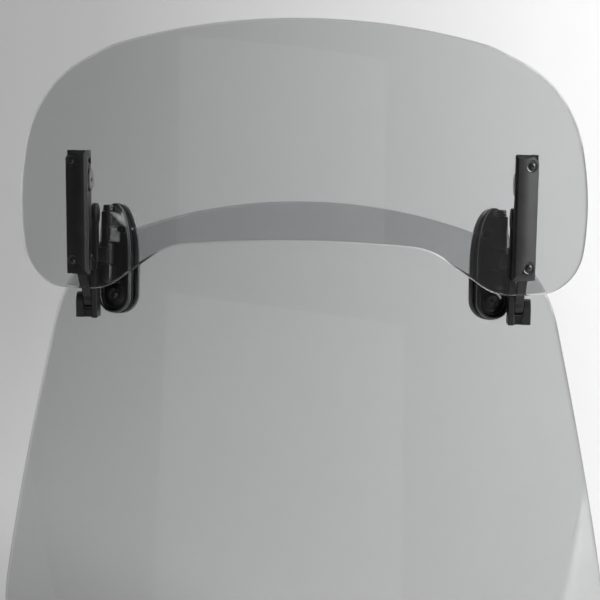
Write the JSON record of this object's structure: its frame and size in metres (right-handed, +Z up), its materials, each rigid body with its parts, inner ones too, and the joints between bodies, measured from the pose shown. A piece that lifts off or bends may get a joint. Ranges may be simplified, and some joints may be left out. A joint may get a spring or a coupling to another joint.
{
  "type": "windshield screen",
  "caption": "Curved smoked motorcycle windshield with a smaller spoiler blade raised and lowered on black parallel-linkage brackets.",
  "frame": {"origin": "centre of the rectangle of four fairing fixings, level with the seats of the well nuts behind the screen", "axes": "+X to the right seen from the front, +Y towards the rider, +Z up; the front of the screen faces -Y and leans back 22 degrees"},
  "size_m": [0.3824, 0.1592, 0.4787],
  "materials": {
    "smoked_acrylic": "polished transparent sheet with a light neutral smoke tint",
    "black_plastic": "moulded black, satin with a fine grain",
    "black_steel": "black oxide steel",
    "bright_steel": "turned stainless steel",
    "rubber": "soft matt black"
  },
  "bodies": {
    "root": {"windshield": "smoked_acrylic", "left_fairing_screw_upper": "black_steel", "left_fairing_screw_lower": "black_steel", "left_well_nut_upper": "rubber", "left_well_nut_lower": "rubber", "left_backing_plate": "bright_steel", "left_rear_gasket": "rubber", "left_front_gasket": "rubber", "left_base": "black_plastic", "left_base_screw_upper": "black_steel", "left_base_screw_lower": "black_steel", "left_swivel_pin": "black_steel", "left_side_link": "black_plastic", "left_friction_washer": "bright_steel", "left_pivot_bolt_upper": "black_steel", "left_pivot_bolt_lower": "black_steel", "right_fairing_screw_upper": "black_steel", "right_fairing_screw_lower": "black_steel", "right_well_nut_upper": "rubber", "right_well_nut_lower": "rubber", "right_backing_plate": "bright_steel", "right_rear_gasket": "rubber", "right_front_gasket": "rubber", "right_base": "black_plastic", "right_base_screw_upper": "black_steel", "right_base_screw_lower": "black_steel", "right_swivel_pin": "black_steel", "right_side_link": "black_plastic", "right_friction_washer": "bright_steel", "right_pivot_bolt_upper": "black_steel", "right_pivot_bolt_lower": "black_steel"},
    "left_lower_lever": {"left_lower_lever": "black_plastic"},
    "right_lower_lever": {"right_lower_lever": "black_plastic"},
    "left_upper_lever": {"left_upper_lever": "black_plastic"},
    "right_upper_lever": {"right_upper_lever": "black_plastic"},
    "spoiler": {"spoiler_blade": "smoked_acrylic", "left_rail_bracket": "black_plastic", "left_rail_pad": "rubber", "left_cover_strip": "black_plastic", "left_strip_screw_upper": "black_steel", "left_strip_screw_lower": "black_steel", "left_rail_pin_upper": "black_steel", "left_rail_pin_lower": "black_steel", "right_rail_bracket": "black_plastic", "right_rail_pad": "rubber", "right_cover_strip": "black_plastic", "right_strip_screw_upper": "black_steel", "right_strip_screw_lower": "black_steel", "right_rail_pin_upper": "black_steel", "right_rail_pin_lower": "black_steel"}
  },
  "joints": [
    {"name": "blade_height", "type": "hinge", "parent": "root", "child": "left_lower_lever", "pos_m": [-0.1282, 0.09191, 0.25721], "axis": [1, 0, 0], "range_deg": [-10, 72]},
    {"name": "right_lower_swing", "type": "hinge", "parent": "root", "child": "right_lower_lever", "pos_m": [0.1282, 0.09191, 0.25721], "axis": [1, 0, 0], "range_deg": [-10, 72]},
    {"name": "left_upper_swing", "type": "hinge", "parent": "root", "child": "left_upper_lever", "pos_m": [-0.1282, 0.10353, 0.30378], "axis": [1, 0, 0], "range_deg": [-10, 72]},
    {"name": "right_upper_swing", "type": "hinge", "parent": "root", "child": "right_upper_lever", "pos_m": [0.1282, 0.10353, 0.30378], "axis": [1, 0, 0], "range_deg": [-10, 72]},
    {"name": "blade_level", "type": "hinge", "parent": "left_lower_lever", "child": "spoiler", "pos_m": [-0.1282, 0.08043, 0.28429], "axis": [1, 0, 0], "range_deg": [-72, 10]}
  ],
  "couplings": [
    {"joint": "right_lower_swing", "follows": "blade_height", "ratio": 1},
    {"joint": "left_upper_swing", "follows": "blade_height", "ratio": 1},
    {"joint": "right_upper_swing", "follows": "blade_height", "ratio": 1},
    {"joint": "blade_level", "follows": "blade_height", "ratio": -1}
  ]
}
